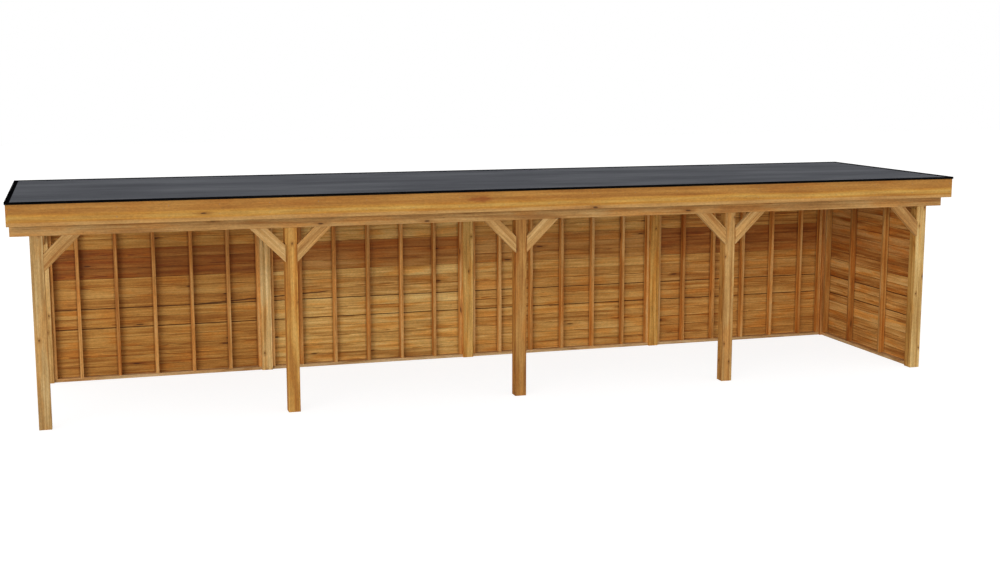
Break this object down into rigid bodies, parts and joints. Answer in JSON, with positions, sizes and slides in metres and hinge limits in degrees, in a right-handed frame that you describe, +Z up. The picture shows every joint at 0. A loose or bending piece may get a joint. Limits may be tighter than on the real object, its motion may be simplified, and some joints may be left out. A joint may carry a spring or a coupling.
{
  "type": "freestanding veranda",
  "caption": "Long timber veranda with square posts, corner braces, boarded back and end walls and a flat roof.",
  "frame": {"origin": "on the floor under the middle of the roof", "axes": "+X along the open front towards the boarded end, +Y from the front to the back wall, +Z up"},
  "size_m": [12.65, 3.215, 2.778],
  "materials": {
    "posts": "planed, oiled",
    "beams": "planed, oiled",
    "braces": "planed, oiled",
    "wall_framing": "planed, oiled",
    "wall_boards": "sawn, oiled",
    "roof_timber": "sawn",
    "fascia": "planed, oiled",
    "roof_membrane": "matt",
    "roof_edge": "powder coated, satin black"
  },
  "bodies": {
    "root": {"front_post_1": "posts", "back_post_1": "posts", "front_post_2": "posts", "back_post_2": "posts", "front_post_3": "posts", "back_post_3": "posts", "front_post_4": "posts", "back_post_4": "posts", "front_post_5": "posts", "back_post_5": "posts", "front_beam": "beams", "back_beam": "beams", "left_beam": "beams", "right_beam": "beams", "front_brace_1_right": "braces", "front_brace_2_left": "braces", "front_brace_2_right": "braces", "front_brace_3_left": "braces", "front_brace_3_right": "braces", "front_brace_4_left": "braces", "front_brace_4_right": "braces", "front_brace_5_left": "braces", "side_braces": "braces", "back_wall_studs_1": "wall_framing", "back_wall_studs_2": "wall_framing", "back_wall_studs_3": "wall_framing", "back_wall_studs_4": "wall_framing", "back_wall_plates": "wall_framing", "right_wall_studs": "wall_framing", "right_wall_plates": "wall_framing", "back_wall_cladding_1": "wall_boards", "back_wall_cladding_2": "wall_boards", "back_wall_cladding_3": "wall_boards", "back_wall_cladding_4": "wall_boards", "right_wall_cladding": "wall_boards", "rafters": "roof_timber", "roof_deck": "roof_timber", "roof_membrane": "roof_membrane", "fascia_front_and_back": "fascia", "fascia_ends": "fascia", "roof_trim_front_and_back": "roof_edge", "roof_trim_ends": "roof_edge"}
  },
  "joints": []
}
